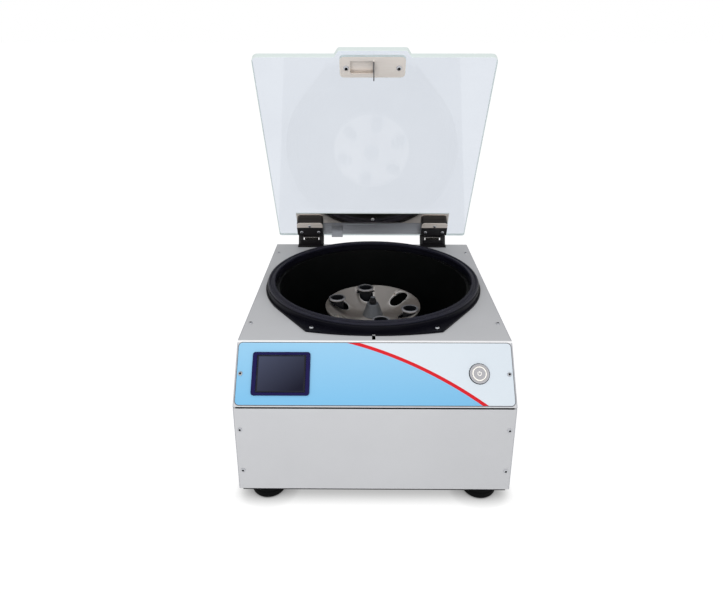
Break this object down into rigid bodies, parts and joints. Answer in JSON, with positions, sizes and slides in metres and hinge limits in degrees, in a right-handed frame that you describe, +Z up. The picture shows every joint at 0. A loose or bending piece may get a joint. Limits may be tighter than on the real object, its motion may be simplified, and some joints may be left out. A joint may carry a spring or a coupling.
{
  "type": "bench centrifuge",
  "caption": "Bench centrifuge: steel case with a sloping control panel, open round chamber, rotor with hanging tube shields, and a clear hinged lid with a latch blade.",
  "frame": {"origin": "on the bench under the middle of the whole object's box, with the lid open as in the picture", "axes": "+Z up, -Y towards the control panel at the front, +X to the right as seen from the front"},
  "size_m": [0.356, 0.4329, 0.5656],
  "materials": {
    "white_paint": "smooth white powder coat",
    "black_rubber": "matt",
    "black_plastic": "satin",
    "black_paint": "satin black",
    "spun_aluminium": "spun and anodised",
    "grey_hub": "grey anodised",
    "polished_steel": "polished",
    "dark_steel": "plain, darkened",
    "clear_acrylic": "clear, polished faces, grey-green edges",
    "printed_film": "printed film, light blue fading to white",
    "indigo_plastic": "satin indigo",
    "dark_glass": "dark glossy pane",
    "circuit_board": "green laminate",
    "lit_plastic": "translucent white"
  },
  "bodies": {
    "chassis": {"top_cover": "white_paint", "front_panel": "white_paint", "side_panel_left": "white_paint", "side_panel_right": "white_paint", "rear_panel": "white_paint", "base_plate": "dark_steel", "foot_front_left": "black_rubber", "foot_front_right": "black_rubber", "foot_rear_left": "black_rubber", "foot_rear_right": "black_rubber", "control_overlay": "printed_film", "display_bezel": "indigo_plastic", "display_module": "dark_glass", "control_board": "circuit_board", "power_button_bezel": "polished_steel", "chamber_bowl": "black_paint", "bowl_collar": "black_plastic", "bowl_seal": "black_rubber", "collar_screw_left": "polished_steel", "collar_screw_right": "polished_steel", "motor": "dark_steel", "motor_plate": "dark_steel", "motor_boot": "black_rubber", "vibration_mount_1": "black_rubber", "vibration_mount_2": "black_rubber", "vibration_mount_3": "black_rubber", "hinge_bracket_left": "black_paint", "hinge_bracket_right": "black_paint", "hinge_pin_left": "polished_steel", "hinge_pin_right": "polished_steel", "lock_body": "dark_steel", "power_inlet": "black_plastic", "power_board": "circuit_board"},
    "lid_group": {"lid": "clear_acrylic", "lid_tab": "polished_steel", "latch_plate": "polished_steel", "latch_screw_left": "polished_steel", "latch_screw_right": "polished_steel", "hinge_rail": "spun_aluminium", "rail_strip": "polished_steel", "hinge_block_left": "black_plastic", "hinge_block_right": "black_plastic", "hinge_band_left": "polished_steel", "hinge_band_right": "polished_steel"},
    "rotor": {"rotor_dish": "spun_aluminium", "rotor_hub": "grey_hub", "drive_shaft": "polished_steel"},
    "knob": {"rotor_knob": "black_plastic"},
    "shield_1": {"tube_shield_1": "black_plastic", "shield_cushion_1": "black_rubber"},
    "shield_3": {"tube_shield_3": "black_plastic", "shield_cushion_3": "black_rubber"},
    "shield_4": {"tube_shield_4": "black_plastic", "shield_cushion_4": "black_rubber"},
    "shield_6": {"tube_shield_6": "black_plastic", "shield_cushion_6": "black_rubber"},
    "button": {"power_button": "lit_plastic"},
    "bolt": {"latch_bolt": "polished_steel"},
    "drawer": {"fuse_drawer": "black_plastic"}
  },
  "joints": [
    {"name": "lid_hinge", "type": "hinge", "parent": "chassis", "child": "lid_group", "pos_m": [0, 0.21015, 0.2238], "axis": [-1, 0, 0], "range_deg": [-60, 20]},
    {"name": "rotor_spin", "type": "hinge", "parent": "chassis", "child": "rotor", "pos_m": [0, 0.02235, 0.1718], "axis": [0, 0, 1], "continuous": true},
    {"name": "knob_turn", "type": "hinge", "parent": "rotor", "child": "knob", "pos_m": [0, 0.02235, 0.1718], "axis": [0, 0, 1], "continuous": true},
    {"name": "shield_1_swing", "type": "hinge", "parent": "rotor", "child": "shield_1", "pos_m": [-0.01174, 0.08272, 0.16588], "axis": [0.9816, 0.1908, 0], "range_deg": [0, 38]},
    {"name": "shield_3_swing", "type": "hinge", "parent": "rotor", "child": "shield_3", "pos_m": [0.05815, 0.00233, 0.16588], "axis": [-0.3256, -0.9455, 0], "range_deg": [0, 38]},
    {"name": "shield_4_swing", "type": "hinge", "parent": "rotor", "child": "shield_4", "pos_m": [0.01174, -0.03802, 0.16588], "axis": [-0.9816, -0.1908, 0], "range_deg": [0, 38]},
    {"name": "shield_6_swing", "type": "hinge", "parent": "rotor", "child": "shield_6", "pos_m": [-0.05815, 0.04237, 0.16588], "axis": [0.3256, 0.9455, 0], "range_deg": [0, 38]},
    {"name": "power_button_press", "type": "slide", "parent": "chassis", "child": "button", "axis": [0, 0.7702, -0.6378], "range_m": [0, 0.0025], "stiffness_N_per_m": 400},
    {"name": "latch_bolt_slide", "type": "slide", "parent": "chassis", "child": "bolt", "axis": [1, 0, 0], "range_m": [0, 0.008], "stiffness_N_per_m": 100},
    {"name": "fuse_drawer_slide", "type": "slide", "parent": "chassis", "child": "drawer", "axis": [0, 1, 0], "range_m": [0, 0.014]}
  ]
}
